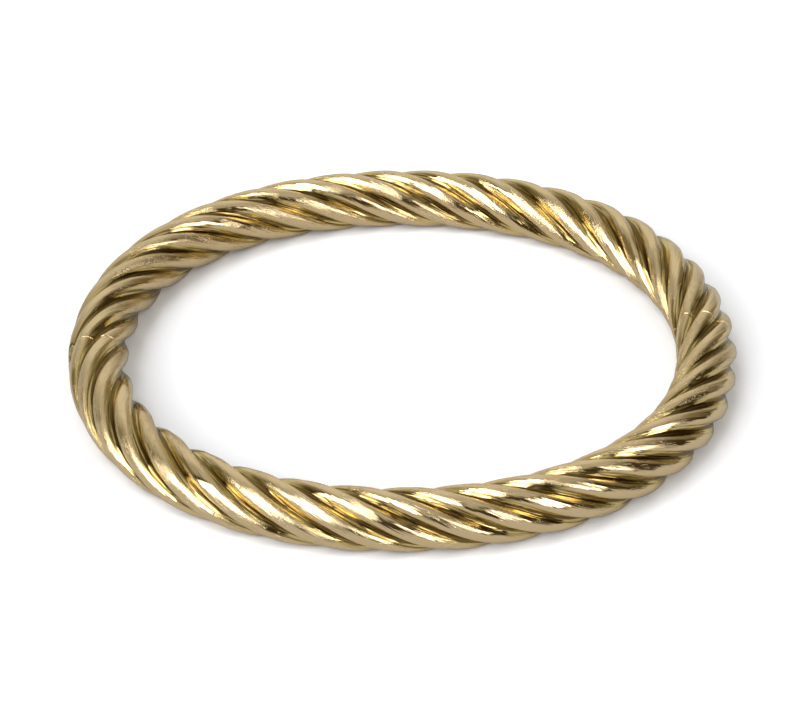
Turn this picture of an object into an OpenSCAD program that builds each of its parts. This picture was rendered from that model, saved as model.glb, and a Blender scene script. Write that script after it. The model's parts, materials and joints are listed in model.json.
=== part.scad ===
/* [Loop] */
// Length of the oval from hinge to clasp, measured along the middle of the rope
loop_len = 62.7; // [52:0.1:80]
// Width of the oval across the wrist, measured at the middle of the rope
loop_wide = 57.8; // [46:0.1:75]
// How far the long sides are flatter than an ellipse, in hundredths of the half width
side_flat = 1.3; // [0:0.1:4]
// How far the two ends are rounder than an ellipse, in hundredths of the half length
end_round = 0.4; // [0:0.1:3]

/* [Rope] */
// Thickness of the rope over its ribs
rope_d = 6.25; // [5.6:0.05:8]
// Depth of the grooves between the ribs
groove_deep = 0.7; // [0.5:0.05:0.8]
// How much narrower the grooves are than the ribs, where 1 is an even wave
groove_narrow = 2; // [1:0.1:3]
// Number of ribs side by side round the rope
rib_count = 6; // [4:1:8]
// Number of ribs that go by along the loop, a whole number so that they meet at the hinge
ribs_along = 37; // [20:1:44]
// Place of one groove round the rope at the clasp end, in degrees above the outer side
rib_turn = -41.8; // [-60:0.1:60]
// Extra turn of the ribs in the middle of the front half, in degrees, fading out at its ends
front_turn = 11.5; // [-20:0.1:20]
// Extra turn of the ribs in the middle of the back half, in degrees, fading out at its ends
back_turn = -4.6; // [-20:0.1:20]
// Metal left between the grooves and the hollow inside
wall = 0.5; // [0.4:0.05:0.9]

/* [Hinge] */
// Distance of the hinge seam from the end of the oval, towards the front
hinge_off = 1.95; // [0.8:0.05:4]
// Depth of the pin's axis under the outer side of the rope
pin_in = 1.4; // [1.3:0.05:1.5]
// Diameter of the hinge pin
pin_d = 0.7; // [0.5:0.05:0.9]
// Length of the hinge pin, whose lower end shows on the underside
pin_len = 3.2; // [2.8:0.1:3.6]
// Height of all three knuckles together
hinge_h = 2.2; // [2:0.1:2.4]
// Height of the middle knuckle
knuckle_h = 0.8; // [0.6:0.1:1]
// Angle through which the front half swings open, in degrees
swing = 55; // [30:1:60]
// Length of solid metal that carries the hinge in the end of each half
hinge_block = 4; // [3:0.5:10]

/* [Clasp] */
// Distance of the clasp seam from the end of the oval, towards the back
clasp_off = 1.6; // [0.5:0.05:4]
// Slant of the clasp seam, in degrees, with its wrist side further back
clasp_slant = 22; // [0:1:30]
// Thickness of the plate that closes each half at the clasp
end_plate = 1.2; // [0.8:0.1:2.5]
// Length of the tongue that goes into the back half
tongue_len = 5; // [3:0.1:7]
// Length of the tongue that is held in the front half
tongue_seat = 3; // [2:0.1:6]
// Width of the folded tongue
tongue_w = 2.2; // [1.4:0.1:2.4]
// Height of the folded tongue over both its leaves
tongue_h = 1.5; // [1.2:0.1:1.8]
// Thickness of the strip that the tongue is folded from
leaf = 0.45; // [0.3:0.05:0.55]

/* [Fits] */
// Gap between the two halves at both seams
seam_gap = 0.08; // [0.05:0.01:0.2]
// Gap between the pin and its holes, at the radius
pin_gap = 0.03; // [0.01:0.01:0.08]
// Gap above and below the middle knuckle
knuckle_gap = 0.1; // [0.06:0.01:0.15]
// Gap round the knuckles, in which the other half swings past
swing_gap = 0.2; // [0.16:0.01:0.3]
// Gap round the tongue in the slot of the back half
slot_gap = 0.3; // [0.2:0.01:0.35]
// Gap round the tongue where the front half holds it
seat_gap = 0.05; // [0.02:0.01:0.1]

/* [Hidden] */

gold = [0.80, 0.67, 0.40];
pale_gold = [0.86, 0.76, 0.52];

// Points round the skin for each rib, rings along it, and the same for the hollow
rib_points = 8;
ring_step = 1.42;
hollow_points = 12;
hollow_step = 4;
round_fn = 48;

rope_r = rope_d / 2;
hollow_r = rope_r - groove_deep - wall;
half_len = loop_len / 2;
half_wide = loop_wide / 2;
knuckle_wall = 0.05;
knuckle_r = pin_in - knuckle_wall;
pin_x = -(half_len + rope_r - pin_in);
pin_y = -hinge_off;
over = 1;
slant_run = rope_r * tan(clasp_slant);
plate_run = seam_gap / 2 + end_plate + hollow_r * tan(clasp_slant);
relief_spare = 5;
top = rope_r + over;
outer_x = -half_len - rope_r - over;
inner_x = -half_len + rope_r + over;
mid_h = knuckle_h / 2;
zone_h = hinge_h / 2;

// The oval that the rope follows. Angle 0 is the clasp end, and 180 is the hinge end.
end_k = end_round / 100;
side_k = side_flat / 100;
function oval(a) = [
    half_len * (cos(a) - end_k * cos(3 * a)) / (1 - end_k),
    half_wide * (sin(a) + side_k * sin(3 * a)) / (1 - side_k)
];
function oval_slope(a) = [
    -half_len * (sin(a) - 3 * end_k * sin(3 * a)) / (1 - end_k),
    half_wide * (cos(a) + 3 * side_k * cos(3 * a)) / (1 - side_k)
];
function along(a) = oval_slope(a) / norm(oval_slope(a));
function outward(a) = [along(a).y, -along(a).x];

// Length of rope from the clasp end, looked up against the angle of the oval
angle_step = 1;
run_table = [
    for (i = 0, run = 0; i * angle_step <= 200;
        run = run + norm(oval((i + 1) * angle_step) - oval(i * angle_step)), i = i + 1)
    [run, i * angle_step]
];
half_loop = lookup(180, [for (row = run_table) [row[1], row[0]]]);
rib_lead = rib_count * 2 * half_loop / ribs_along;
function angle_at(run) = sign(run) * lookup(abs(run), run_table);

// A ring of points round the rope at one place: radius r(i) at turn(i) above the outer side
function ring(run, radii, turns) =
    let (a = angle_at(run), mid = oval(a), out = outward(a))
    [for (i = [0:len(radii) - 1])
        [mid.x + radii[i] * cos(turns[i]) * out.x,
         mid.y + radii[i] * cos(turns[i]) * out.y,
         radii[i] * sin(turns[i])]];

// A closed tube through equal rings, with a fan of triangles on each end
module tube(rings, middles) {
    n = len(rings[0]);
    last = len(rings) - 1;
    points = concat([for (one = rings) each one], middles);
    sides = [for (k = [0:last - 1], i = [0:n - 1])
        let (a = k * n + i, b = k * n + (i + 1) % n)
        each [[a, b + n, a + n], [a, b, b + n]]];
    first_cap = [for (i = [0:n - 1]) [len(points) - 2, (i + 1) % n, i]];
    last_cap = [for (i = [0:n - 1]) [len(points) - 1, last * n + i, last * n + (i + 1) % n]];
    polyhedron(points, concat(sides, first_cap, last_cap));
}

function middle_at(run) = [oval(angle_at(run)).x, oval(angle_at(run)).y, 0];
function places(from, to, step) =
    let (n = ceil((to - from) / step)) [for (k = [0:n]) from + (to - from) * k / n];

// How deep the skin is at a place across a rib, and how far the ribs have turned at a run
function dip(place) = groove_deep * pow((1 + cos(360 * place)) / 2, groove_narrow);
function swell(run) = sin(180 * max(0, min(1, run / half_loop)));
function rib_start(run) =
    rib_turn - 360 * run / rib_lead + front_turn * swell(-run) + back_turn * swell(run);

// The twisted skin of a stretch of rope: the same point of each ring stays on the same rib
module rope(from, to) {
    n = rib_count * rib_points;
    radii = [for (i = [0:n - 1]) rope_r - dip(i / rib_points)];
    tube(
        [for (run = places(from, to, ring_step))
            ring(run, radii, [for (i = [0:n - 1]) 360 * i / n + rib_start(run)])],
        [middle_at(from), middle_at(to)]
    );
}

// The hollow inside a stretch of rope
module hollow(from, to) {
    n = hollow_points;
    tube(
        [for (run = places(from, to, hollow_step))
            ring(run, [for (i = [0:n - 1]) hollow_r], [for (i = [0:n - 1]) 360 * i / n])],
        [middle_at(from), middle_at(to)]
    );
}

// Puts its children on the seam of the clasp, with +Y into the back half
module at_clasp() {
    a = angle_at(clasp_off);
    translate([oval(a).x, oval(a).y, 0])
        rotate([0, 0, atan2(along(a).y, along(a).x) - 90])
            children();
}

// An upright cylinder about the hinge axis, between two heights
module about_pin(r, low, high) {
    translate([pin_x, pin_y, low]) cylinder(r = r, h = high - low, $fn = round_fn);
}

// A block over the whole height of the rope, from x0 and y0 to x1 and y1
module block(x0, y0, x1, y1) {
    translate([x0, y0, -rope_r - over]) cube([x1 - x0, y1 - y0, rope_d + 2 * over]);
}

// Space of the tongue with a gap round it, between two places along the rope
module tongue_space(gap, from, to) {
    translate([-tongue_w / 2 - gap, from, -tongue_h / 2 - gap])
        cube([tongue_w + 2 * gap, to - from, tongue_h + 2 * gap]);
}

// What lies beyond the slanted clasp seam: the back half's side, or the front half's
module beyond_clasp(side) {
    size = rope_d + 2 * over;
    at_clasp() rotate([0, 0, -clasp_slant])
        translate([-size / 2, side > 0 ? -seam_gap / 2 : seam_gap / 2 - size, -size / 2])
            cube([size, size, size]);
}

// Relief outside the pin, above and below the knuckles, so that one half clears the other
module relief(side) {
    reach = pin_in + over;
    for (low = [hinge_h / 2, -top])
        translate([pin_x, pin_y, low]) linear_extrude(height = top - hinge_h / 2)
            polygon([[pin_d / 2, 0], [-reach, 0],
                [-reach, side * (reach + pin_d / 2) * tan(swing / 2 + relief_spare)]]);
}

// The half behind the wrist: hollow rope, the middle knuckle and the slot for the tongue
module back_half() {
    color(gold) translate([0, 0, rope_r]) difference() {
        rope(clasp_off - slant_run - over, half_loop + hinge_off + knuckle_r + over);
        hollow(clasp_off + plate_run, half_loop + hinge_off - hinge_block);
        beyond_clasp(-1);
        difference() {
            block(outer_x, -hinge_off - knuckle_r - 3 * over, inner_x, -hinge_off + seam_gap / 2);
            about_pin(knuckle_r, -mid_h, mid_h);
        }
        about_pin(knuckle_r + swing_gap, mid_h, zone_h + knuckle_gap);
        about_pin(knuckle_r + swing_gap, -zone_h - knuckle_gap, -mid_h);
        relief(1);
        about_pin(pin_d / 2 + pin_gap, -top, zone_h);
        at_clasp() tongue_space(slot_gap, -slant_run, plate_run + over);
    }
}

// The half in front of the wrist: hollow rope, upper and lower knuckle, the tongue's seat
module front_half() {
    color(gold) translate([0, 0, rope_r]) difference() {
        rope(-(half_loop - hinge_off + knuckle_r + over), clasp_off + slant_run + over);
        hollow(-(half_loop - hinge_off - hinge_block), clasp_off - plate_run);
        beyond_clasp(1);
        difference() {
            block(outer_x, -hinge_off - seam_gap / 2, inner_x, knuckle_r + over);
            about_pin(knuckle_r, mid_h + knuckle_gap, zone_h);
            about_pin(knuckle_r, -zone_h, -mid_h - knuckle_gap);
        }
        about_pin(knuckle_r + swing_gap, -mid_h - knuckle_gap, mid_h + knuckle_gap);
        relief(-1);
        about_pin(pin_d / 2 + pin_gap, -top, zone_h);
        at_clasp() tongue_space(seat_gap, -tongue_seat, slant_run + over);
    }
}

// The plain upright pin through the three knuckles
module hinge_pin() {
    pin_top = zone_h - pin_gap;
    color(pale_gold) translate([0, 0, rope_r]) about_pin(pin_d / 2, pin_top - pin_len, pin_top);
}

// The tongue, a strip folded on itself, seen from the side as a hairpin
module clasp_tongue() {
    fold_r = tongue_h / 2;
    tip = tongue_len - fold_r;
    color(pale_gold) translate([0, 0, rope_r]) at_clasp()
        translate([-tongue_w / 2, 0, 0]) rotate([90, 0, 90]) linear_extrude(height = tongue_w)
            difference() {
                union() {
                    translate([-tongue_seat, -fold_r]) square([tongue_seat + tip, tongue_h]);
                    translate([tip, 0]) circle(r = fold_r, $fn = round_fn);
                }
                translate([0, leaf - fold_r]) square([tip, tongue_h - 2 * leaf]);
                translate([tip, 0]) circle(r = fold_r - leaf, $fn = round_fn);
            }
}

back_half();
front_half();
hinge_pin();
clasp_tongue();
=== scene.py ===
# %% [markdown]
# # A hinged bangle of twisted gold rope
#
# The real bangle is a hollow tube of gold sheet, pressed with six ribs, twisted like a rope and bent
# into an oval. It is sawn in two, hinged at the left end and closed at the right end by a folded
# tongue. This lesson dresses its plain construction model: the same pieces in the same places, with
# a finer skin, rounded seams and a polished, slightly worn gold.

import json
import math

import bpy
import numpy as np
from mathutils import Matrix, Vector


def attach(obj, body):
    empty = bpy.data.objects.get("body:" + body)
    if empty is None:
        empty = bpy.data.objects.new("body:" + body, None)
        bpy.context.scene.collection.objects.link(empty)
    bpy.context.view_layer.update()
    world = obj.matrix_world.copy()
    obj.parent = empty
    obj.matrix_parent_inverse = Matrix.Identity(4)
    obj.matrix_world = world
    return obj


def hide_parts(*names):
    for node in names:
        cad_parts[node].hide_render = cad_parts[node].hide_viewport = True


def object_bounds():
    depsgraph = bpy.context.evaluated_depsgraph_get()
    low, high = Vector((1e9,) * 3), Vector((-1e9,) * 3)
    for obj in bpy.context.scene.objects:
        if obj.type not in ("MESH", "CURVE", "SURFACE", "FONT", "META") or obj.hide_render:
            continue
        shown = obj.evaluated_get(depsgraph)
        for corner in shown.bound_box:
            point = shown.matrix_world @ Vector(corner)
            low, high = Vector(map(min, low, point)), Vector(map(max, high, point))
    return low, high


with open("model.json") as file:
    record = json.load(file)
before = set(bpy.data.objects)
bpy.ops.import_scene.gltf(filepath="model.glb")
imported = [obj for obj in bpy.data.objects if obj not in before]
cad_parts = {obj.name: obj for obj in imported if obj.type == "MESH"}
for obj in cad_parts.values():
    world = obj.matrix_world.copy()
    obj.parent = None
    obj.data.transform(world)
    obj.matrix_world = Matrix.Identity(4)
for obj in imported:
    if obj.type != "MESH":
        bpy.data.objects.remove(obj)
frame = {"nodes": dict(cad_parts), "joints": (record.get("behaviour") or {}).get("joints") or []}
cad_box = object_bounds()
MM = 0.001

print("nodes", sorted(frame["nodes"]), "box in mm", [[round(v / MM, 2) for v in c] for c in cad_box])

# %% [markdown]
# ## The camera comes first
#
# A jewel is photographed from a little way off with a long lens, so that the oval isn't stretched by
# perspective. The camera stands in front of the bangle and looks down on it. Its place is worked out
# from a few readable values: how far, how high, and how much the picture is turned and shifted.

# %% Camera
ROPE_R = cad_box[1].z / MM / 2
LOOK_DOWN = math.radians(35.07)
TURN_ROUND = math.radians(0.4956)
ROLL = math.radians(-0.573)
DISTANCE = 303.4
AIM_SIDEWAYS = 0.2296
AIM_UP = 0.9485
LENS = 132.0
SENSOR = 36.0


def camera_axes():
    """The camera's right, up and forward directions."""
    right = Vector((1, 0, 0))
    forward = Vector((0, math.cos(LOOK_DOWN), -math.sin(LOOK_DOWN)))
    up = right.cross(forward)
    turned = Matrix.Rotation(TURN_ROUND, 3, "Z")
    rolled_right = math.cos(ROLL) * right + math.sin(ROLL) * up
    rolled_up = math.cos(ROLL) * up - math.sin(ROLL) * right
    return turned @ rolled_right, turned @ rolled_up, turned @ forward


def make_camera():
    right, up, forward = camera_axes()
    middle = Vector((0, 0, ROPE_R))
    place = middle - DISTANCE * forward - AIM_SIDEWAYS * right - AIM_UP * up
    data = bpy.data.cameras.new("photo_camera")
    data.lens = LENS
    data.sensor_width = SENSOR
    data.clip_start = 0.01
    data.clip_end = 10
    made = bpy.data.objects.new("photo_camera", data)
    bpy.context.scene.collection.objects.link(made)
    axes = Matrix((right, up, -forward)).transposed().to_4x4()
    made.matrix_world = Matrix.Translation(place * MM) @ axes
    bpy.context.scene.camera = made
    return made


camera = make_camera()
print("camera stands at, in mm", [round(v / MM, 1) for v in camera.matrix_world.translation])

# %% [markdown]
# ## The line that the rope follows
#
# The middle of the rope is an oval, a little flatter along its sides than an ellipse. A third
# harmonic does that with two small numbers. Everything on the rope is placed by its run, the length
# of rope from the clasp: positive runs go round the back, negative ones round the front.

# %% The oval and its run
HALF_LEN = 31.35
HALF_WIDE = 28.9
END_ROUND = 0.004
SIDE_FLAT = 0.013


def oval(a):
    """Points of the oval at the angles a, in radians. Angle 0 is the clasp end."""
    x = HALF_LEN * (np.cos(a) - END_ROUND * np.cos(3 * a)) / (1 - END_ROUND)
    y = HALF_WIDE * (np.sin(a) + SIDE_FLAT * np.sin(3 * a)) / (1 - SIDE_FLAT)
    return np.stack([x, y], -1)


def oval_slope(a):
    x = -HALF_LEN * (np.sin(a) - 3 * END_ROUND * np.sin(3 * a)) / (1 - END_ROUND)
    y = HALF_WIDE * (np.cos(a) + 3 * SIDE_FLAT * np.cos(3 * a)) / (1 - SIDE_FLAT)
    return np.stack([x, y], -1)


ANGLES = np.radians(np.arange(-210, 210.01, 0.25))
STEPS = np.linalg.norm(np.diff(oval(ANGLES), axis=0), axis=1)
RUNS = np.concatenate([[0], np.cumsum(STEPS)])
RUNS -= np.interp(0, ANGLES, RUNS)
HALF_LOOP = float(np.interp(math.pi, ANGLES, RUNS))


def frame_at(run):
    """Middle of the rope, direction along it and direction outward, at each run."""
    a = np.interp(run, RUNS, ANGLES)
    slope = oval_slope(a)
    along = slope / np.linalg.norm(slope, axis=-1, keepdims=True)
    outward = np.stack([along[..., 1], -along[..., 0]], -1)
    return oval(a), along, outward


def ring_points(run, radius, turn):
    """Points round the rope: at a run, a radius and a turn above its outer side."""
    middle, _, outward = frame_at(run)
    flat = middle + (radius * np.cos(turn))[..., None] * outward
    return np.concatenate([flat, (radius * np.sin(turn))[..., None]], -1)


print("the rope is", round(2 * HALF_LOOP, 1), "mm long round the loop")

# %% [markdown]
# ## The twisted skin
#
# A rib goes once round the rope in about 31 mm, and 37 ribs go by along the loop. That is a whole
# number, so they meet again at the hinge. The radius is a wave of six crests round the rope, raised
# to a power so that the grooves are narrower than the ribs. Each ring of points is turned a little
# further than the one before. A point so stays on its rib, the mesh lines run along the ribs as the
# grain of the metal does, and highlights stay clean. A hand-bent tube is never quite even, so a few
# slow waves of some hundredths of a millimetre press the ribs in here and there.

# %% A point of the skin
RIBS = 6
GROOVE_DEEP = 0.7
GROOVE_NARROW = 2
RIBS_ALONG = 37
RIB_LEAD = RIBS * 2 * HALF_LOOP / RIBS_ALONG
RIB_TURN = math.radians(-41.8)
FRONT_TURN = math.radians(11.5)
BACK_TURN = math.radians(-4.6)
POLISHED_OFF = 0.012
UNEVEN = 0.035
UNEVEN_WAVES = 5
luck = np.random.default_rng(7)
wave_runs = luck.uniform(0.25, 1.1, UNEVEN_WAVES)
wave_turns = luck.integers(1, 9, UNEVEN_WAVES)
wave_starts = luck.uniform(0, 2 * math.pi, UNEVEN_WAVES)


def rib_start(run):
    """How far the ribs have turned at a run, with the small gain or loss in the middle of each half."""
    in_front = np.sin(math.pi * np.clip(-run / HALF_LOOP, 0, 1))
    in_back = np.sin(math.pi * np.clip(run / HALF_LOOP, 0, 1))
    return RIB_TURN - 2 * math.pi * run / RIB_LEAD + FRONT_TURN * in_front + BACK_TURN * in_back


def unevenness(run, rib_angle):
    """Depth of the slow dents, from 0 to UNEVEN."""
    waves = [np.sin(run * f + rib_angle * k + s) for f, k, s in zip(wave_runs, wave_turns, wave_starts)]
    return UNEVEN * (0.5 + 0.5 * sum(waves) / UNEVEN_WAVES)


def skin(run, rib_angle, inset=0.0):
    """Points on the skin, at a run and at an angle counted from a groove and turning with the ribs."""
    dip = GROOVE_DEEP * ((1 + np.cos(RIBS * rib_angle)) / 2) ** GROOVE_NARROW
    radius = ROPE_R - POLISHED_OFF - dip - unevenness(run, rib_angle) - inset
    return ring_points(run, radius, rib_angle + rib_start(run))


print("grooves are", GROOVE_DEEP, "mm deep, with dents of up to", UNEVEN, "mm")

# %% [markdown]
# ## Seams with rounded lips
#
# Each half ends in a flat face, and polishing has rounded its edge. So every mesh line along a rib is
# ended exactly on the seam's plane: its run there is found by halving, as when one looks up a word in
# a dictionary. The last few rings then bend inward on a small quarter circle and make the lip.

# %% Where the seams are
SEAM_GAP = 0.08
CLASP_RUN = 1.6
CLASP_SLANT = math.radians(22)
HINGE_Y = frame["joints"][0]["pos_m"][1] / MM
PIN_X = frame["joints"][0]["pos_m"][0] / MM
LIP = 0.09
LIP_RINGS = 4
SEARCH = 4.0
HALVINGS = 34


def clasp_plane(side):
    """A point of the slanted clasp face and the direction into the metal, for side 1 back, -1 front."""
    middle, along, _ = frame_at(np.array(CLASP_RUN))
    lean = math.atan2(along[1], along[0]) - CLASP_SLANT
    normal = side * np.array([math.cos(lean), math.sin(lean), 0])
    return np.array([middle[0], middle[1], 0]) + normal * SEAM_GAP / 2, normal


def hinge_plane(side):
    normal = side * np.array([0.0, 1.0, 0.0])
    return np.array([0, HINGE_Y, 0]) + normal * SEAM_GAP / 2, normal


def run_on_plane(plane, rib_angle, guess, deep):
    """The run at which each rib line is this deep behind a seam's plane, found by halving."""
    point, normal = plane
    low = np.full_like(rib_angle, guess - SEARCH)
    high = np.full_like(rib_angle, guess + SEARCH)
    rising = ((skin(high, rib_angle) - skin(low, rib_angle)) @ normal)[0] > 0
    for _ in range(HALVINGS):
        middle = (low + high) / 2
        behind = (skin(middle, rib_angle) - point) @ normal > deep
        low = np.where(behind == rising, low, middle)
        high = np.where(behind == rising, middle, high)
    return (low + high) / 2


def lip_rings(plane, rib_angle, guess):
    """Rings of the rounded lip, from the skin to the flat face."""
    rings = []
    for step in range(LIP_RINGS + 1):
        bend = math.pi / 2 * step / LIP_RINGS
        run = run_on_plane(plane, rib_angle, guess, LIP * (1 - math.sin(bend)))
        rings.append(skin(run, rib_angle, LIP * (1 - math.cos(bend))))
    return rings


print("hinge pin at x", round(PIN_X, 2), "seam at y", round(HINGE_Y, 2), "lips of", LIP, "mm")

# %% [markdown]
# ## A mesh from rings
#
# Nearly every piece here is a row of rings joined by quads, like a sock, with a fan of triangles on
# each end. One helper makes the mesh object, and one makes the sock.

# %% Mesh helpers
def object_from(name, points, faces):
    """A mesh object from points in millimetres, with the middle of the rope at height 0."""
    mesh = bpy.data.meshes.new(name)
    lifted = (np.asarray(points) + [0, 0, ROPE_R]) * MM
    mesh.from_pydata(lifted.tolist(), [], faces)
    mesh.validate()
    made = bpy.data.objects.new(name, mesh)
    bpy.context.scene.collection.objects.link(made)
    return made


def tube_from_rings(name, rings):
    """A closed tube: quads between the rings, and a fan on each end."""
    n = len(rings[0])
    ends = [np.mean(rings[0], axis=0), np.mean(rings[-1], axis=0)]
    points = np.concatenate([*rings, ends])
    first, last = len(points) - 2, len(points) - 1
    start = (len(rings) - 1) * n
    faces = [(k * n + i, (k + 1) * n + i, (k + 1) * n + (i + 1) % n, k * n + (i + 1) % n)
             for k in range(len(rings) - 1) for i in range(n)]
    faces += [(first, i, (i + 1) % n) for i in range(n)]
    faces += [(last, start + (i + 1) % n, start + i) for i in range(n)]
    return object_from(name, points, faces)


print("mesh helpers ready")

# %% [markdown]
# ## The two halves, still uncut
#
# One function makes either half between its two planes. About seven points stand on each millimetre
# round the rope and four rings on each millimetre along it, so even a close-up shows round ribs.

# %% Skins of the halves
POINTS_ROUND = 132
RING_STEP = 0.26
rib_lines = np.arange(POINTS_ROUND) * 2 * math.pi / POINTS_ROUND


def half_skin(name, start_plane, start_guess, end_plane, end_guess):
    start = run_on_plane(start_plane, rib_lines, start_guess, LIP)
    end = run_on_plane(end_plane, rib_lines, end_guess, LIP)
    count = int(abs(end_guess - start_guess) / RING_STEP)
    body = [skin(start + (end - start) * k / count, rib_lines) for k in range(1, count)]
    rings = lip_rings(start_plane, rib_lines, start_guess)[::-1] + body
    rings += lip_rings(end_plane, rib_lines, end_guess)
    return tube_from_rings(name, rings)


back_hinge_run = HALF_LOOP - HINGE_Y
front_hinge_run = -(HALF_LOOP + HINGE_Y)
back = half_skin("back_rope", clasp_plane(1), CLASP_RUN, hinge_plane(1), back_hinge_run)
front = half_skin("front_rope", hinge_plane(-1), front_hinge_run, clasp_plane(-1), CLASP_RUN)
print("faces of the uncut halves", len(back.data.polygons), len(front.data.polygons))

# %% [markdown]
# ## Cutting one mesh with another
#
# The halves are then cut as a goldsmith cuts them. A Boolean modifier subtracts a tool from a mesh,
# and is applied straight away, so that the mesh is final and the tool can go.

# %% Boolean helpers
def apply_boolean(target, tool, operation):
    """Cuts or joins target with tool, and removes the tool."""
    step = target.modifiers.new("cut", "BOOLEAN")
    step.object = tool
    step.operation = operation
    step.solver = "MANIFOLD"
    graph = bpy.context.evaluated_depsgraph_get()
    mesh = bpy.data.meshes.new_from_object(target.evaluated_get(graph))
    target.modifiers.clear()
    old = target.data
    target.data = mesh
    bpy.data.meshes.remove(old)
    bpy.data.objects.remove(tool)


def prism(name, outline, low, high):
    """An upright prism over an outline that turns to the left, between two heights."""
    n = len(outline)
    points = [(x, y, low) for x, y in outline] + [(x, y, high) for x, y in outline]
    faces = [(i, (i + 1) % n, n + (i + 1) % n, n + i) for i in range(n)]
    faces += [tuple(range(n - 1, -1, -1)), tuple(range(n, 2 * n))]
    return object_from(name, points, faces)


def about_pin(name, radius, low, high, sides=64):
    """An upright barrel about the hinge axis."""
    turns = [2 * math.pi * i / sides for i in range(sides)]
    outline = [(PIN_X + radius * math.cos(t), HINGE_Y + radius * math.sin(t)) for t in turns]
    return prism(name, outline, low, high)


print("Boolean helpers ready")

# %% [markdown]
# ## The tools of the bench
#
# Each half gets a hollow inside, a room for the other half's knuckles, two wedges filed away outside
# the pin so that the halves can swing, a drilled pin hole, and a slot for the tongue. The sizes are
# those of the construction model.

# %% Sizes of the cuts
PIN_D = 0.7
PIN_IN = HALF_LEN + ROPE_R + PIN_X
PIN_GAP = 0.03
PIN_LEN = 3.2
HINGE_H = 2.2
KNUCKLE_H = 0.8
KNUCKLE_WALL = 0.05
KNUCKLE_R = PIN_IN - KNUCKLE_WALL
KNUCKLE_GAP = 0.1
FILED = 0.015
SWING_GAP = 0.2
SWING = frame["joints"][0]["range_deg"][1]
RELIEF_SPARE = 5
HINGE_BLOCK = 4.0
WALL = 0.5
HOLLOW_R = ROPE_R - GROOVE_DEEP - WALL
END_PLATE = 1.2
TONGUE_W = 2.2
TONGUE_H = 1.5
TONGUE_LEN = 5.0
TONGUE_SEAT = 3.0
LEAF = 0.45
SLOT_GAP = 0.3
SEAT_GAP = 0.05
OVER = 1.0
TOP = ROPE_R + OVER
PLATE_RUN = SEAM_GAP / 2 + END_PLATE + HOLLOW_R * math.tan(CLASP_SLANT)
KNUCKLE_STUB = 2.5

print("walls of", WALL, "mm round a hollow of radius", round(HOLLOW_R, 3), "mm")

# %% [markdown]
# ## Shapes that cut
#
# Every tool is a simple closed mesh. The hollow is a thin round sock inside the rope. Wedges, rooms,
# holes and slots are prisms. A knuckle is a barrel filed down to the rope's own skin, so that the ribs
# carry on over the closed hinge.

# %% Tools of the cuts
def hollow_tool(start, end, sides=24, rings=90):
    """The round inside of the tube, between two runs."""
    turns = np.arange(sides) * 2 * math.pi / sides
    radius = np.full(sides, HOLLOW_R)
    runs = np.linspace(start, end, rings)
    return tube_from_rings("hollow", [ring_points(np.full(sides, run), radius, turns) for run in runs])


def relief_tools(side):
    """The filed wedges outside the pin, one above the knuckles and one below."""
    reach = PIN_IN + OVER
    rise = (reach + PIN_D / 2) * math.tan(math.radians(SWING / 2 + RELIEF_SPARE))
    outline = [(PIN_X + PIN_D / 2, HINGE_Y - side), (PIN_X + PIN_D / 2, HINGE_Y),
               (PIN_X - reach, HINGE_Y + side * rise), (PIN_X - reach, HINGE_Y - side)]
    outline = outline[::side]
    return [prism("relief", outline, HINGE_H / 2, TOP), prism("relief", outline, -TOP, -HINGE_H / 2)]


def at_clasp(across, along):
    """A place in plan, given outward from the middle of the rope and along it into the back half."""
    middle, forward, outward = frame_at(np.array(CLASP_RUN))
    return middle + across * outward + along * forward


def slot_tool(gap, start, end):
    """The tongue's room with a gap round it."""
    wide, high = TONGUE_W / 2 + gap, TONGUE_H / 2 + gap
    corners = [(wide, start), (wide, end), (-wide, end), (-wide, start)]
    return prism("slot", [at_clasp(*c) for c in corners], -high, high)


def knuckle(low, high, hinge_run, rings=24):
    """A knuckle: a barrel round the pin, filed down to the rope's own skin."""
    runs = np.linspace(hinge_run - KNUCKLE_STUB, hinge_run + KNUCKLE_STUB, rings)
    stub = tube_from_rings("knuckle", [skin(np.full(POINTS_ROUND, r), rib_lines, FILED) for r in runs])
    apply_boolean(stub, about_pin("barrel", KNUCKLE_R, low, high), "INTERSECT")
    return stub


print("knuckles of radius", round(KNUCKLE_R, 2), "mm round a pin of", PIN_D, "mm")

# %% [markdown]
# ## Cutting the halves
#
# The order is that of the bench: first the hollow, then the rooms and the wedges of the hinge. The
# knuckles are soldered on, and only then is the pin hole drilled through all of them at once.

# %% Cut both halves
def cut_half(half, side):
    mid, zone = KNUCKLE_H / 2, HINGE_H / 2
    if side > 0:
        hollow = hollow_tool(CLASP_RUN + PLATE_RUN, back_hinge_run - HINGE_BLOCK)
        rooms = [(mid, zone + KNUCKLE_GAP), (-zone - KNUCKLE_GAP, -mid)]
        barrels = [(-mid, mid)]
        slot = slot_tool(SLOT_GAP, -2 * OVER, PLATE_RUN + OVER)
        hinge_run = back_hinge_run
    else:
        hollow = hollow_tool(front_hinge_run + HINGE_BLOCK, CLASP_RUN - PLATE_RUN)
        rooms = [(-mid - KNUCKLE_GAP, mid + KNUCKLE_GAP)]
        barrels = [(mid + KNUCKLE_GAP, zone), (-zone, -mid - KNUCKLE_GAP)]
        slot = slot_tool(SEAT_GAP, -TONGUE_SEAT, 2 * OVER)
        hinge_run = front_hinge_run
    apply_boolean(half, hollow, "DIFFERENCE")
    for low, high in rooms:
        apply_boolean(half, about_pin("room", KNUCKLE_R + SWING_GAP, low, high), "DIFFERENCE")
    for tool in relief_tools(side):
        apply_boolean(half, tool, "DIFFERENCE")
    for low, high in barrels:
        apply_boolean(half, knuckle(low, high, hinge_run), "UNION")
    apply_boolean(half, about_pin("pin_hole", PIN_D / 2 + PIN_GAP, -TOP, zone), "DIFFERENCE")
    apply_boolean(half, slot, "DIFFERENCE")


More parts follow.
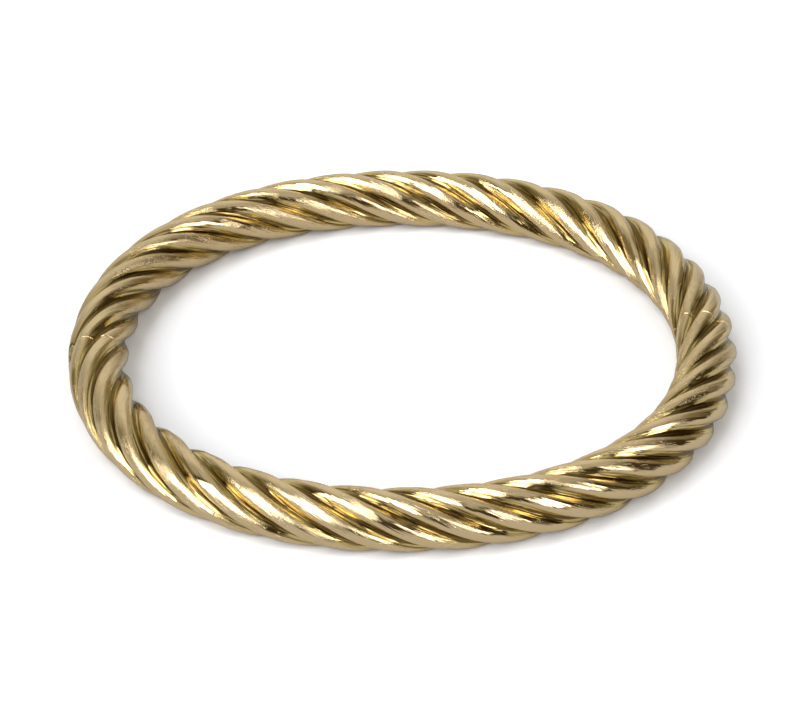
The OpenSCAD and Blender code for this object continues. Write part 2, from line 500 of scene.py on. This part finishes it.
cut_half(back, 1)
cut_half(front, -1)
for half in (back, front):
    corners = np.array([half.matrix_world @ Vector(c) for c in half.bound_box]) / MM
    print(half.name, len(half.data.polygons), "faces", corners.min(0).round(2), corners.max(0).round(2))

# %% [markdown]
# ## The tongue and the pin
#
# The tongue is a strip folded on itself like a hairpin, so that its leaves can spring. It is swept:
# a small rounded rectangle is carried along the fold, turning with it. A filler is soldered between
# the leaves where the front half holds them. The pin is turned about its axis, and its ends are
# peened, which leaves them a little domed.

# %% Finer tongue and pin
STRIP_ROUND = 0.1
FILLER_LAP = 0.02
FILLER_INSET = 0.05
PEEN = 0.12
PEEN_START = 0.15
PEEN_RINGS = 7


def rounded_rectangle(half_wide, half_high, radius, steps=4):
    """Corner by corner, turning to the left."""
    points = []
    for corner in range(4):
        sx, sy = ((1, 1), (-1, 1), (-1, -1), (1, -1))[corner]
        for k in range(steps + 1):
            t = math.pi / 2 * (corner + k / steps)
            points.append((sx * (half_wide - radius) + radius * math.cos(t),
                           sy * (half_high - radius) + radius * math.sin(t)))
    return np.array(points)


def strip(name, path, half_thick, half_wide):
    """A rounded strip along a path of places (along, up) in the upright plane of the tongue."""
    path = np.array(path)
    run = np.gradient(path, axis=0)
    run /= np.linalg.norm(run, axis=1, keepdims=True)
    section = rounded_rectangle(half_wide, half_thick, min(STRIP_ROUND, half_thick * 0.9))
    rings = []
    for (along, up), (dx, dz) in zip(path, run):
        ring = []
        for across, out in section:
            x, y = at_clasp(across, along - out * dz)
            ring.append((x, y, up + out * dx))
        rings.append(ring)
    return tube_from_rings(name, np.array(rings))


def make_tongue(bends=16):
    fold = TONGUE_H / 2
    middle = fold - LEAF / 2
    tip = TONGUE_LEN - fold
    turns = [math.pi / 2 - math.pi * k / bends for k in range(bends + 1)]
    bend = [(tip + middle * math.cos(t), middle * math.sin(t)) for t in turns]
    path = [(-TONGUE_SEAT, middle), (0, middle)] + bend + [(0, -middle), (-TONGUE_SEAT, -middle)]
    tongue = strip("folded_tongue", path, LEAF / 2, TONGUE_W / 2)
    filler = strip("filler", [(-TONGUE_SEAT, 0), (0, 0)],
                   fold - LEAF + FILLER_LAP, TONGUE_W / 2 - FILLER_INSET)
    apply_boolean(tongue, filler, "UNION")
    return tongue


def make_pin(sides=40):
    high = HINGE_H / 2 - PIN_GAP
    low = high - PIN_LEN
    radius = PIN_D / 2
    bends = np.linspace(PEEN_START, math.pi / 2, PEEN_RINGS)
    dome = [(radius * math.sin(t), PEEN * (1 - math.cos(t))) for t in bends]
    profile = [(r, low + h) for r, h in dome] + [(r, high - h) for r, h in reversed(dome)]
    turns = np.arange(sides) * 2 * math.pi / sides
    rings = [np.stack([PIN_X + r * np.cos(turns), HINGE_Y + r * np.sin(turns), np.full(sides, h)], -1)
             for r, h in profile]
    return tube_from_rings("peened_pin", rings)


tongue = make_tongue()
pin = make_pin()
print("faces of the tongue and the pin", len(tongue.data.polygons), len(pin.data.polygons))

# %% [markdown]
# ## Smooth ribs, crisp cuts
#
# A mesh is shaded smooth across an edge or with a crease. The ribs want the first and the saw cuts
# the second, so every edge that turns by more than a set angle is marked sharp.

# %% Shading
CREASE = math.radians(32)


def shade(piece):
    mesh = piece.data
    mesh.polygons.foreach_set("use_smooth", [True] * len(mesh.polygons))
    mesh.set_sharp_from_angle(angle=CREASE)
    mesh.update()


for piece in (back, front, tongue, pin):
    shade(piece)
print("creases at", round(math.degrees(CREASE)), "degrees")

# %% [markdown]
# ## Coordinates that follow the ribs
#
# The finish has to run along the ribs and know a groove from a crest. So each point of the halves
# keeps two things: its lay, which is where it would be if the rope were untwisted and straight, and
# its height, which is 0 at the bottom of a groove and 1 on a crest. The tongue and the pin keep a lay
# of their own, with the length of the piece as its third number.

# %% Lay and height
def vertex_places(piece):
    """The points of a piece in millimetres, with the middle of the rope at height 0."""
    co = np.empty(len(piece.data.vertices) * 3, np.float32)
    piece.data.vertices.foreach_get("co", co)
    return co.reshape(-1, 3) / MM - [0, 0, ROPE_R]


def keep(piece, lay, height):
    """Stores the lay in millimetres and the height on the points of a piece."""
    mesh = piece.data
    lays = mesh.attributes.new("lay", "FLOAT_VECTOR", "POINT")
    lays.data.foreach_set("vector", lay.ravel().astype(np.float32))
    heights = mesh.attributes.new("height", "FLOAT", "POINT")
    heights.data.foreach_set("value", height.astype(np.float32))


def keep_rope_lay(piece, side):
    """Walks from each point to the nearest place of the oval, and reads run, rib angle and radius."""
    points = vertex_places(piece)
    flat = points[:, :2]
    a = np.arctan2(flat[:, 1] / HALF_WIDE, flat[:, 0] / HALF_LEN)
    a = np.where(side * a < -math.pi / 2, a + side * 2 * math.pi, a)
    for _ in range(8):
        slope = oval_slope(a)
        a = a + ((flat - oval(a)) * slope).sum(-1) / (slope * slope).sum(-1)
    run = np.interp(a, ANGLES, RUNS)
    middle, _, outward = frame_at(run)
    out = ((flat - middle) * outward).sum(-1)
    rib_angle = np.arctan2(points[:, 2], out) - rib_start(run)
    radius = np.hypot(out, points[:, 2])
    lay = np.stack([ROPE_R * np.cos(rib_angle), ROPE_R * np.sin(rib_angle), run], -1)
    keep(piece, lay, np.clip((radius - (ROPE_R - GROOVE_DEEP)) / GROOVE_DEEP, 0, 1))


def keep_plain_lay(piece, order):
    """The lay of a small straight piece: its own axes in the given order, the long one last."""
    points = vertex_places(piece)
    keep(piece, points[:, order], np.ones(len(points)))


keep_rope_lay(back, 1)
keep_rope_lay(front, -1)
keep_plain_lay(tongue, [0, 2, 1])
keep_plain_lay(pin, [0, 1, 2])
print("lay kept on", sum(len(p.data.vertices) for p in (back, front, tongue, pin)), "points")

# %% [markdown]
# ## Finishes as node groups
#
# Each effect of the surface is a node group, a small machine with named inputs and outputs. Building
# it once and placing it in every material with that material's own values keeps them alike without
# repeating nodes. These helpers make a group and wire nodes by name.

# %% Node helpers
def new_group(name, inputs, outputs):
    """An empty shader group. Inputs and outputs are (name, socket type, start value) rows."""
    tree = bpy.data.node_groups.new(name, "ShaderNodeTree")
    for direction, rows in (("INPUT", inputs), ("OUTPUT", outputs)):
        for label, kind, value in rows:
            socket = tree.interface.new_socket(label, in_out=direction, socket_type="NodeSocket" + kind)
            if value is not None:
                socket.default_value = value
    return tree, tree.nodes.new("NodeGroupInput"), tree.nodes.new("NodeGroupOutput")


def wire_up(tree, node, wires):
    """Wires or sets inputs by name, with _ for a space, or by number, as in i0."""
    for key, value in wires.items():
        by_number = key[0] == "i" and key[1:].isdigit()
        socket = node.inputs[int(key[1:]) if by_number else key.replace("_", " ")]
        if isinstance(value, bpy.types.NodeSocket):
            tree.links.new(value, socket)
        else:
            socket.default_value = value


def put(tree, kind, settings=None, **wires):
    """A node of a kind, with settings and with inputs wired or set."""
    node = tree.nodes.new("ShaderNode" + kind)
    for key, value in (settings or {}).items():
        setattr(node, key, value)
    wire_up(tree, node, wires)
    return node


print("node helpers ready")

# %% [markdown]
# ## Sums and mixtures in nodes
#
# A node tree does its sums with nodes too, which gets long-winded. These short helpers each add one
# node and give back its result, so that a formula can be written nearly as one would say it.

# %% Helpers for sums
def maths(tree, operation, a, b=0.0, c=0.0):
    """The result of a Math node."""
    return put(tree, "Math", {"operation": operation}, i0=a, i1=b, i2=c).outputs[0]


def mixed(tree, share, a, b):
    """Colour a and colour b, mixed by a share."""
    node = put(tree, "Mix", {"data_type": "RGBA"}, i0=share, i6=a, i7=b)
    return node.outputs[2]


def smooth_step(tree, value, low, high):
    """0 below low, 1 above high and a soft slope between. Low may be above high, which turns it round."""
    node = put(tree, "MapRange", {"interpolation_type": "SMOOTHSTEP"},
               Value=value, From_Min=low, From_Max=high)
    return node.outputs["Result"]


def place_group(tree, group, **wires):
    """A group placed in a tree, with its inputs wired or set by name."""
    node = tree.nodes.new("ShaderNodeGroup")
    node.node_tree = group
    wire_up(tree, node, wires)
    return node


print("helpers for sums ready")

# %% [markdown]
# ## Lines along the ribs
#
# Sheet that is drawn and pressed keeps fine lines along the way it was pulled. A noise texture makes
# them when its space is squeezed hard across the ribs and hardly at all along them. Two sizes of line
# are added: broad flutes that bend the highlights, and hair lines that soften them.

# %% Group: drawn lines
def drawn_lines_group():
    tree, given, result = new_group(
        "Drawn lines",
        [("Lay", "Vector", None), ("Lines per mm", "Float", 2.0), ("Length mm", "Float", 9.0),
         ("Seed", "Float", 0.0)],
        [("Height", "Float", None)])
    across = given.outputs["Lines per mm"]
    along = maths(tree, "DIVIDE", 1.0, given.outputs["Length mm"])
    stretch = put(tree, "CombineXYZ", X=across, Y=across, Z=along)
    moved = put(tree, "VectorMath", {"operation": "MULTIPLY"},
                i0=given.outputs["Lay"], i1=stretch.outputs[0])
    noise = put(tree, "TexNoise", {"noise_dimensions": "4D"}, Vector=moved.outputs[0],
                W=given.outputs["Seed"], Scale=1.0, Detail=2.0, Roughness=0.6)
    tree.links.new(noise.outputs[0], result.inputs["Height"])
    return tree


drawn_lines = drawn_lines_group()
print("group", drawn_lines.name, "takes", [s.name for s in drawn_lines.interface.items_tree])

# %% [markdown]
# ## Wear on the crests
#
# The crests touch tables and sleeves, so they carry a fine grain of tiny nicks, and the bottoms of the
# grooves stay smoother. The group makes the grain from a fine noise and cuts short scratches into it,
# from a noise squeezed in a slanting direction. A mask keeps both out of the bottoms and gathers them
# in patches.

# %% Group: crest wear
SLANT = (0.5, 0.3, 0.7)
SQUEEZE = (1.0, 9.0, 1.0)
SCRATCHES_PER_MM = 1.3
NICK_EDGE = (0.58, 0.72)
NICK_DEPTH = 0.6
PATCH_EDGE = (0.35, 0.65)
CREST_RISE = 0.35


def crest_wear_group():
    tree, given, result = new_group(
        "Crest wear",
        [("Lay", "Vector", None), ("Height", "Float", 1.0), ("Grain per mm", "Float", 5.0),
         ("From height", "Float", 0.5), ("Patch mm", "Float", 3.0)],
        [("Grain", "Float", None), ("Mask", "Float", None)])
    lay = given.outputs["Lay"]
    fine = put(tree, "TexNoise", Vector=lay, Scale=given.outputs["Grain per mm"], Detail=3.0, Roughness=0.7)
    slanted = put(tree, "Mapping", Vector=lay, Rotation=SLANT, Scale=SQUEEZE)
    scratch = put(tree, "TexNoise", Vector=slanted.outputs[0], Scale=SCRATCHES_PER_MM, Detail=2.0,
                  Roughness=0.5)
    nicks = smooth_step(tree, scratch.outputs[0], *NICK_EDGE)
    grain = maths(tree, "MULTIPLY_ADD", nicks, -NICK_DEPTH, fine.outputs[0])
    patches = put(tree, "TexNoise", Vector=lay, Detail=2.0, Roughness=0.5,
                  Scale=maths(tree, "DIVIDE", 1.0, given.outputs["Patch mm"]))
    start = given.outputs["From height"]
    crest = smooth_step(tree, given.outputs["Height"], start, maths(tree, "ADD", start, CREST_RISE))
    share = smooth_step(tree, patches.outputs[0], *PATCH_EDGE)
    tree.links.new(grain, result.inputs["Grain"])
    tree.links.new(maths(tree, "MULTIPLY", crest, share), result.inputs["Mask"])
    return tree


crest_wear = crest_wear_group()
print("group", crest_wear.name, "takes", [s.name for s in crest_wear.interface.items_tree])

# %% [markdown]
# ## Colour and painted shade that deepen the grooves
#
# The grooves are painted a deeper, more saturated yellow than the crests and flanks. This is painted
# shade, standing in for the shade and the light bounced between the ribs. Brown goes into the fine
# drawn lines inside that deep share, so real drawing marks are darkened further as painted shade. A
# dark brown band at the very bottom is partly patina and partly painted shade. The group mixes three
# colours by height, with an uneven border.

# %% Group: groove colour
CLOUD_SQUEEZE = (1.0, 1.0, 0.2)
CLOUDS_PER_MM = 1.6
# DEEP_END and STREAK_EDGE shape the painted groove shade and its brown streaks.
DEEP_END = 0.45
STREAK_EDGE = (0.54, 0.4)


def groove_colour_and_shade_group():
    tree, given, result = new_group(
        "Groove colour and painted shade",
        [("Lay", "Vector", None), ("Height", "Float", 1.0), ("Clean", "Color", None),
         ("Deep", "Color", None), ("Line", "Color", None), ("Line height", "Float", 0.06),
         ("Deep height", "Float", 0.5), ("Uneven", "Float", 0.25), ("Drawn", "Float", 0.5),
         ("Streaks", "Float", 0.5)],
        [("Color", "Color", None), ("Mask", "Float", None)])
    squeezed = put(tree, "VectorMath", {"operation": "MULTIPLY"},
                   i0=given.outputs["Lay"], i1=CLOUD_SQUEEZE)
    cloud = put(tree, "TexNoise", Vector=squeezed.outputs[0], Scale=CLOUDS_PER_MM, Detail=3.0,
                Roughness=0.6)
    shift = maths(tree, "MULTIPLY", maths(tree, "SUBTRACT", cloud.outputs[0], 0.5), given.outputs["Uneven"])
    height = maths(tree, "ADD", given.outputs["Height"], shift)
    # Painted shade: below Deep height the colour turns to the deeper Deep colour.
    deep_end = maths(tree, "MULTIPLY", given.outputs["Deep height"], DEEP_END)
    deep = smooth_step(tree, height, given.outputs["Deep height"], deep_end)
    # Dark brown at the very bottom of the grooves, partly patina and partly painted shade.
    line = smooth_step(tree, height, given.outputs["Line height"], 0.0)
    colour = mixed(tree, deep, given.outputs["Clean"], given.outputs["Deep"])
    # Real drawn lines, coloured brown only inside the deep share as painted shade.
    streaks = smooth_step(tree, given.outputs["Drawn"], *STREAK_EDGE)
    streaks = maths(tree, "MULTIPLY", maths(tree, "MULTIPLY", streaks, deep), given.outputs["Streaks"])
    colour = mixed(tree, maths(tree, "MAXIMUM", line, streaks), colour, given.outputs["Line"])
    tree.links.new(colour, result.inputs["Color"])
    tree.links.new(deep, result.inputs["Mask"])
    return tree


groove_colour_and_shade = groove_colour_and_shade_group()
print("group", groove_colour_and_shade.name, "takes", [s.name for s in groove_colour_and_shade.interface.items_tree])

# %% [markdown]
# ## Two golds from the same groups
#
# The rope is polished yellow gold. The tongue and the pin are a harder, paler alloy with a satin
# finish. Both are metals, so the colour is the colour of their reflection, and a Bump node turns the
# heights of the groups, in fractions of a millimetre, into tilted reflections.

# %% The gold materials
FLUTE_MM = 0.055
HAIR_MM = 0.042
GRAIN_MM = 0.05


def gold_material(name, colours, lines, wear, roughness):
    """Gold with lines, wear and groove colour. Each argument is a dictionary of that group's values."""
    material = bpy.data.materials.new(name)
    material.use_nodes = True
    tree = material.node_tree
    shader = tree.nodes["Principled BSDF"]
    lay = put(tree, "Attribute", {"attribute_name": "lay"}).outputs["Vector"]
    height = put(tree, "Attribute", {"attribute_name": "height"}).outputs["Fac"]
    flutes = place_group(tree, drawn_lines, Lay=lay,
                         Lines_per_mm=lines["flutes"], Length_mm=lines["length"])
    hairs = place_group(tree, drawn_lines, Lay=lay, Seed=4.0,
                        Lines_per_mm=lines["hairs"], Length_mm=lines["length"] / 3)
    # The groove colour group paints shade into the grooves: a deeper yellow and dark brown.
    tint_and_shade = place_group(tree, groove_colour_and_shade, Lay=lay, Height=height,
                       Drawn=hairs.outputs["Height"], **colours)
    worn = place_group(tree, crest_wear, Lay=lay, Height=height, **wear)
    relief = maths(tree, "MULTIPLY", flutes.outputs["Height"], FLUTE_MM)
    relief = maths(tree, "MULTIPLY_ADD", hairs.outputs["Height"], HAIR_MM, relief)
    grain = maths(tree, "MULTIPLY", worn.outputs["Grain"], worn.outputs["Mask"])
    relief = maths(tree, "MULTIPLY_ADD", grain, GRAIN_MM, relief)
    bump = put(tree, "Bump", Height=relief, Distance=MM, Strength=1.0)
    rough = maths(tree, "MULTIPLY_ADD", worn.outputs["Mask"], roughness["worn"], roughness["clean"])
    rough = maths(tree, "MULTIPLY_ADD", tint_and_shade.outputs["Mask"], roughness["deep"], rough)
    shader.inputs["Metallic"].default_value = 1
    tree.links.new(tint_and_shade.outputs["Color"], shader.inputs["Base Color"])
    tree.links.new(rough, shader.inputs["Roughness"])
    tree.links.new(bump.outputs[0], shader.inputs["Normal"])
    return material


print("a gold is made of", drawn_lines.name, "+", crest_wear.name, "+", groove_colour_and_shade.name)

# %% [markdown]
# ## The values of each gold
#
# One function makes both metals, each from its own values. The rope has long fine lines, worn flanks
# and grooves painted a deeper yellow with brown, as painted shade. The fittings are paler and duller,
# with much finer and shorter lines, since they are small and were filed by hand.

# %% Two golds
# Deep, Line and Streaks paint shade into the grooves: a deeper yellow, and dark brown at the bottoms and in
# the drawn lines.
rope_gold = gold_material(
    "rope_gold",
    {"Clean": (0.86, 0.675, 0.41, 1), "Deep": (0.84, 0.66, 0.295, 1), "Line": (0.19, 0.12, 0.035, 1),
     "Deep_height": 0.74, "Line_height": 0.16, "Uneven": 0.3, "Streaks": 0.95},
    {"flutes": 1.6, "hairs": 4.6, "length": 16.0},
    {"Grain_per_mm": 6.5, "From_height": 0.1, "Patch_mm": 4.0},
    {"clean": 0.06, "worn": 0.1, "deep": 0.02})
fitting_gold = gold_material(
    "fitting_gold",
    {"Clean": (0.88, 0.71, 0.43, 1), "Deep": (0.82, 0.6, 0.3, 1), "Line": (0.5, 0.33, 0.14, 1),
     "Deep_height": 0.5, "Line_height": 0.08, "Uneven": 0.4, "Streaks": 0.3},
    {"flutes": 3.0, "hairs": 12.0, "length": 6.0},
    {"Grain_per_mm": 8.0, "From_height": 0.3, "Patch_mm": 1.5},
    {"clean": 0.26, "worn": 0.1, "deep": 0.05})
print("made", rope_gold.name, "and", fitting_gold.name)

# %% [markdown]
# ## Handing the pieces over
# Each finer piece gets the metal of the record's material slot that it shows. It is then hung under the
# half that carries it when the hinge opens, and the plain piece of the construction model that it
# stands for is hidden.

# %% Dress the pieces
for piece, body, node, slot in ((back, "back", "back_half", "rope_gold"),
                                (front, "front", "front_half", "rope_gold"),
                                (tongue, "front", "clasp_tongue", "fitting_gold"),
                                (pin, "back", "hinge_pin", "fitting_gold")):
    piece.data.materials.clear()
    piece.data.materials.append(rope_gold if slot == "rope_gold" else fitting_gold)
    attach(piece, body)
    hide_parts(node)
    print(piece.name, "stands for", node, "in", slot)

# %% [markdown]
# ## A pale floor
#
# The bangle lies on white card. In the picture the card is lit to pure white, with only a soft grey
# shadow where the metal keeps the light off. Seen in the metal it is a middle grey, since the card
# nearby is less lit than the lamps. One material does both: a Light Path node tells the camera's rays
# from those that come off the gold. The seen colour is above one and a little blue, as a photographer
# lifts the card to white and takes the room's warm cast out of it.

# %% Floor
FLOOR_SIZE = 1200
CARD_GREY = 0.5
CARD_SEEN = (1.09, 1.115, 1.22)


def make_floor():
    mesh = bpy.data.meshes.new("floor")
    far = FLOOR_SIZE / 2 * MM
    corners = [(-far, -far, 0), (far, -far, 0), (far, far, 0), (-far, far, 0)]
    mesh.from_pydata(corners, [], [(0, 1, 2, 3)])
    made = bpy.data.objects.new("floor", mesh)
    bpy.context.scene.collection.objects.link(made)
    card = bpy.data.materials.new("white_card")
    card.use_nodes = True
    tree = card.node_tree
    seen = put(tree, "LightPath").outputs["Is Camera Ray"]
    colour = mixed(tree, seen, (CARD_GREY, CARD_GREY, CARD_GREY, 1), (*CARD_SEEN, 1))
    shader = tree.nodes["Principled BSDF"]
    shader.inputs["Roughness"].default_value = 1
    shader.inputs["Specular IOR Level"].default_value = 0
    tree.links.new(colour, shader.inputs["Base Color"])
    mesh.materials.append(card)
    return made


floor = make_floor()
print("floor of", FLOOR_SIZE, "mm")

# %% [markdown]
# ## A room of soft lights
#
# Polished metal shows its surroundings, so they are the real lighting of a jewel. The room here is a
# dome with soft rectangular patches. One node group makes a patch: it measures how far a direction is
# from the middle of the patch, in bearing and in height, and mixes the patch's colour over what is
# under it, with a soft border.

# %% Group: soft patch
def soft_patch_group():
    tree, given, result = new_group(
        "Soft patch",
        [("Bearing", "Float", 0.0), ("Height", "Float", 0.0), ("From bearing", "Float", 0.0),
         ("To bearing", "Float", 0.0), ("From height", "Float", 0.0), ("To height", "Float", 0.0),
         ("Soft", "Float", 10.0), ("Under", "Color", None), ("Patch", "Color", None)],
        [("Color", "Color", None)])
    g = given.outputs
    masks = []
    for value, low, high, round_about in (("Bearing", "From bearing", "To bearing", True),
                                          ("Height", "From height", "To height", False)):
        centre = maths(tree, "MULTIPLY", maths(tree, "ADD", g[low], g[high]), 0.5)
        half = maths(tree, "MULTIPLY", maths(tree, "SUBTRACT", g[high], g[low]), 0.5)
        away = maths(tree, "SUBTRACT", g[value], centre)
        if round_about:
            away = maths(tree, "WRAP", away, -180.0, 180.0)
        away = maths(tree, "SUBTRACT", maths(tree, "ABSOLUTE", away), half)
        rim = maths(tree, "MULTIPLY", g["Soft"], 0.5)
        masks.append(smooth_step(tree, away, rim, maths(tree, "MULTIPLY", rim, -1.0)))
    share = maths(tree, "MULTIPLY", masks[0], masks[1])
    tree.links.new(mixed(tree, share, g["Under"], g["Patch"]), result.inputs["Color"])
    return tree


soft_patch = soft_patch_group()
print("group", soft_patch.name, "takes", [s.name for s in soft_patch.interface.items_tree])

# %% [markdown]
# ## Windows and dark furniture
#
# Each patch is given by its bearings and heights in degrees: bearing 0 is straight behind the bangle,
# 90 is to the right, and 180 is where the camera stands. The patches are laid over one another like
# paint. A dark surround beside a bright window is what gives polished gold its sharp contrast.

# %% The room
# Name: from bearing, to bearing, from height, to height, softness, colour.
PATCHES = {
    "far wall": (-62, 38, -15, 62, 20, (0.43, 0.42, 0.365)),
    "far corner": (34, 70, -6, 58, 12, (0.22, 0.19, 0.12)),
    "pale curtain": (-34, 16, 4, 58, 16, (0.70, 0.68, 0.60)),
    "olive cupboard": (-98, -60, -8, 54, 12, (0.20, 0.175, 0.10)),
    "dark doorway": (64, 110, -4, 58, 12, (0.05, 0.036, 0.016)),
    "beside the camera": (160, 200, -8, 42, 10, (0.065, 0.048, 0.022)),
    "right sill": (118, 158, -30, 6, 10, (0.66, 0.64, 0.60)),
    "round the lamp": (110, 163, 4, 64, 6, (0.055, 0.04, 0.018)),
    "right lamp": (120, 153, 14, 54, 4, (3.6, 3.6, 3.5)),
    "left sill": (-166, -104, -16, 10, 10, (0.80, 0.79, 0.76)),
    "round the window": (-178, -94, 10, 87, 6, (0.06, 0.044, 0.02)),
    "left window": (-166, -104, 20, 78, 4, (5.2, 5.2, 5.0)),
    "upright bar": (-138, -133, 18, 80, 3, (0.30, 0.29, 0.24)),
    "cross bar": (-168, -102, 50, 54, 3, (0.30, 0.29, 0.24)),
}
ROOM_BASE = (0.50, 0.49, 0.43)


def make_room():
    world = bpy.data.worlds.new("room")
    bpy.context.scene.world = world
    world.use_nodes = True
    tree = world.node_tree
    place = put(tree, "TexCoord").outputs["Generated"]
    axes = put(tree, "SeparateXYZ", Vector=place).outputs
    bearing = maths(tree, "DEGREES", maths(tree, "ARCTAN2", axes["X"], axes["Y"]))
    height = maths(tree, "DEGREES", maths(tree, "ARCSINE", axes["Z"]))
    colour = (*ROOM_BASE, 1)
    for start, end, low, high, soft, paint in PATCHES.values():
        patch = place_group(tree, soft_patch, Bearing=bearing, Height=height, From_bearing=float(start),
                            To_bearing=float(end), From_height=float(low), To_height=float(high),
                            Soft=float(soft), Under=colour, Patch=(*paint, 1))
        colour = patch.outputs["Color"]
    tree.links.new(colour, tree.nodes["Background"].inputs["Color"])
    return world


room = make_room()
scene = bpy.context.scene
scene.view_settings.view_transform = "Standard"
print("room of", len(PATCHES), "soft patches")
